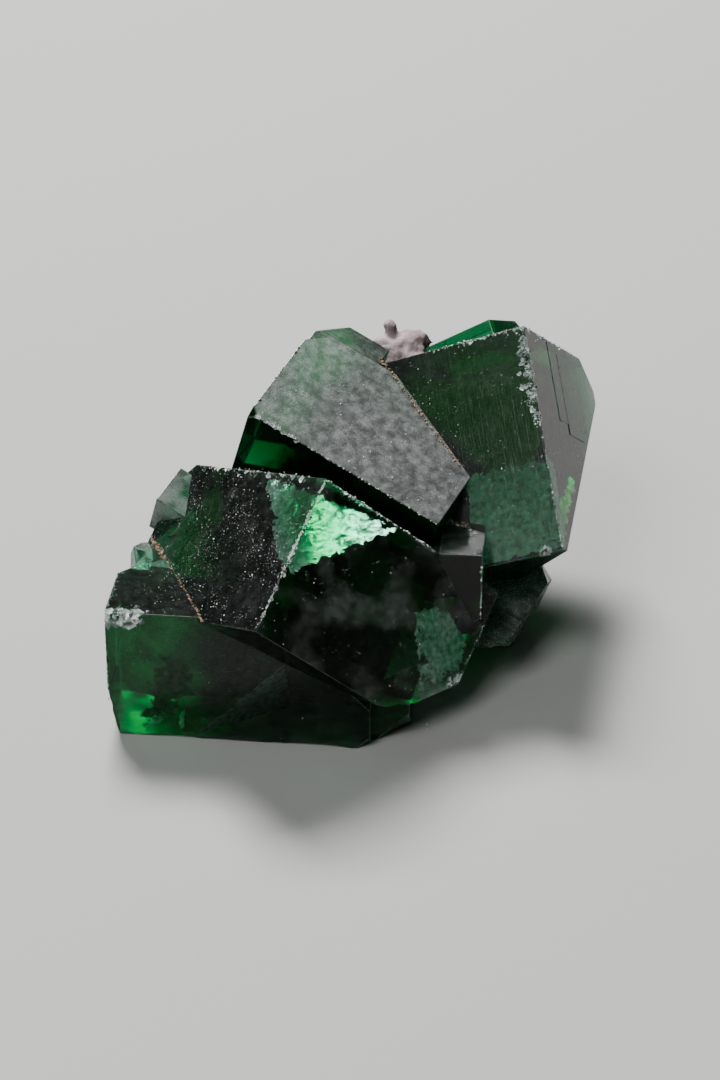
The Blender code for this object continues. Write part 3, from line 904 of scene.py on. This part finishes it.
grains = Grains()
dice = random.Random(SEAM_SEED)
for seam in SEAMS:
    points = [Vector(point) for point in seam.points]
    runs = list(zip(points, points[1:]))
    for grain in range(seam.grains):
        start, end = dice.choices(runs, weights=[(b - a).length for a, b in runs])[0]
        spot = start.lerp(end, dice.random())
        spot += Vector([dice.gauss(0, seam.spread) for _ in range(3)])
        spot.z = max(spot.z, CLAY_FLOOR)
        grains.add(spot, seam.radius * dice.uniform(0.4, 1.6), dice)
clay = finished_piece(
    "seam_clay", grains.mesh("seam_clay"),
    [speckled_finish("tan_clay", (0.28, 0.17, 0.10, 1), (0.60, 0.45, 0.35, 1), 0.85)],
)
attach(clay, "root")

# The matrix rock.
# A remnant of the pinkish white granular rock that the crystals grew on, with a small knob on its
# crest. It fills the hollow behind the crystals.
ROCK_GRAIN = 0.24
ROCK_RELIEF = 0.22
ROCK_PROUD = 0.05
ROCK_DARK = (0.20, 0.15, 0.15, 1)
ROCK_LIGHT = (0.43, 0.36, 0.36, 1)


def rock_piece():
    source = frame["nodes"]["matrix_rock"].data.copy()
    rock = bpy.data.objects.new("matrix_remnant", source)
    bpy.context.scene.collection.objects.link(rock)
    remesh = rock.modifiers.new("grain", "REMESH")
    remesh.mode = "VOXEL"
    remesh.voxel_size = ROCK_GRAIN * MM
    mesh = applied_mesh(rock)
    bpy.data.objects.remove(rock)
    rock = bpy.data.objects.new("matrix_remnant", mesh)
    bpy.context.scene.collection.objects.link(rock)
    lowest = min(vert.co.z for vert in mesh.vertices)
    normals = [vert.normal.copy() for vert in mesh.vertices]
    for vert, normal in zip(mesh.vertices, normals):
        spot = vert.co / MM
        height = noise.fractal(spot * 0.9, 0.7, 2.2, 5) - 0.35
        cells = noise.voronoi(spot * 1.3)[0]
        height += 0.5 * (cells[0] - 0.4)
        vert.co += normal * min(ROCK_PROUD, height * ROCK_RELIEF) * MM
        vert.co.z = max(vert.co.z, lowest)
    mesh.shade_smooth()
    mesh.set_sharp_from_angle(angle=math.radians(50))
    return rock


def rock_finish():
    material = bpy.data.materials.new("pinkish_white_rock")
    material.use_nodes = True
    tree = material.node_tree
    shader = tree.nodes["Principled BSDF"]
    place_in = add_node(tree, "ShaderNodeTexCoord").outputs["Object"]
    space = add_node(
        tree, "ShaderNodeVectorMath", {0: place_in, "Scale": 1 / MM}, operation="SCALE"
    ).outputs[0]
    cloud = add_node(tree, "ShaderNodeTexNoise", {"Vector": space, "Scale": 0.8, "Detail": 8.0})
    ramp = add_node(tree, "ShaderNodeValToRGB", {"Fac": cloud.outputs["Fac"]}).color_ramp
    ramp.elements[0].position, ramp.elements[0].color = 0.32, ROCK_DARK
    ramp.elements[1].position, ramp.elements[1].color = 0.68, ROCK_LIGHT
    tree.links.new(tree.nodes["Color Ramp"].outputs[0], shader.inputs["Base Color"])
    grains = add_node(tree, "ShaderNodeTexNoise", {"Vector": space, "Scale": 7.0, "Detail": 6.0})
    bump = add_node(
        tree, "ShaderNodeBump",
        {"Height": grains.outputs["Fac"], "Distance": 0.06 * MM, "Strength": 0.8},
    )
    tree.links.new(bump.outputs[0], shader.inputs["Normal"])
    shader.inputs["Roughness"].default_value = 0.75
    return material


rock = rock_piece()
rock.data.materials.clear()
rock.data.materials.append(rock_finish())
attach(rock, "root")
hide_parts("matrix_rock")

# The floor, the lights and the camera.
# A plain pale floor, a soft light above and behind, a weak one in front, and the camera at the
# photograph's angle and distance.
FLOOR_SIDE = 3.0
FLOOR_COLOUR = (0.42, 0.416, 0.408, 1.0)
bm = bmesh.new()
bmesh.ops.create_grid(bm, x_segments=2, y_segments=2, size=FLOOR_SIDE / 2)
floor_mesh = bpy.data.meshes.new("floor")
bm.to_mesh(floor_mesh)
bm.free()
floor = bpy.data.objects.new("floor", floor_mesh)
bpy.context.scene.collection.objects.link(floor)
floor_finish = bpy.data.materials.new("pale_floor")
floor_finish.use_nodes = True
floor_shader = floor_finish.node_tree.nodes["Principled BSDF"]
floor_shader.inputs["Base Color"].default_value = FLOOR_COLOUR
floor_shader.inputs["Roughness"].default_value = 0.9
floor_mesh.materials.append(floor_finish)


def soft_light(name, place_at, aim_at, side, watts):
    lamp = bpy.data.lights.new(name, "AREA")
    lamp.shape = "SQUARE"
    lamp.size = side
    lamp.energy = watts
    thing = bpy.data.objects.new(name, lamp)
    thing.location = place_at
    thing.rotation_euler = (Vector(aim_at) - Vector(place_at)).to_track_quat("-Z", "Y").to_euler()
    bpy.context.scene.collection.objects.link(thing)
    return thing


LIT_POINT = (0, 0, 0.01)
LIGHT_SIDE = 0.20
WINDOW_PLACE, WINDOW_WATTS = (-0.10, 0.33, 0.50), 4.9
FILL_PLACE, FILL_WATTS = (-0.16, -0.27, 0.36), 0.9
soft_light("window_light", WINDOW_PLACE, LIT_POINT, LIGHT_SIDE, WINDOW_WATTS)
soft_light("fill_light", FILL_PLACE, LIT_POINT, LIGHT_SIDE, FILL_WATTS)
world = bpy.data.worlds.new("studio")
world.use_nodes = True
world.node_tree.nodes["Background"].inputs["Color"].default_value = (0.95, 0.97, 1.0, 1.0)
world.node_tree.nodes["Background"].inputs["Strength"].default_value = 0.05
bpy.context.scene.world = world

bpy.context.scene.view_settings.look = "AgX - Medium High Contrast"
bpy.context.scene.view_settings.exposure = 0.3

CAMERA_LENS = 100.0
CAMERA_TILT = 32.0
CAMERA_PLACE = Vector((0.0, -188.6, 125.8))
camera = bpy.data.objects.new("camera", bpy.data.cameras.new("camera"))
camera.data.lens = CAMERA_LENS
camera.data.sensor_width = 36.0
camera.data.clip_start = 0.01
camera.location = (CAMERA_PLACE - ORIGIN) * MM
camera.rotation_euler = (math.radians(90 - CAMERA_TILT), 0, 0)
bpy.context.scene.collection.objects.link(camera)
bpy.context.scene.camera = camera
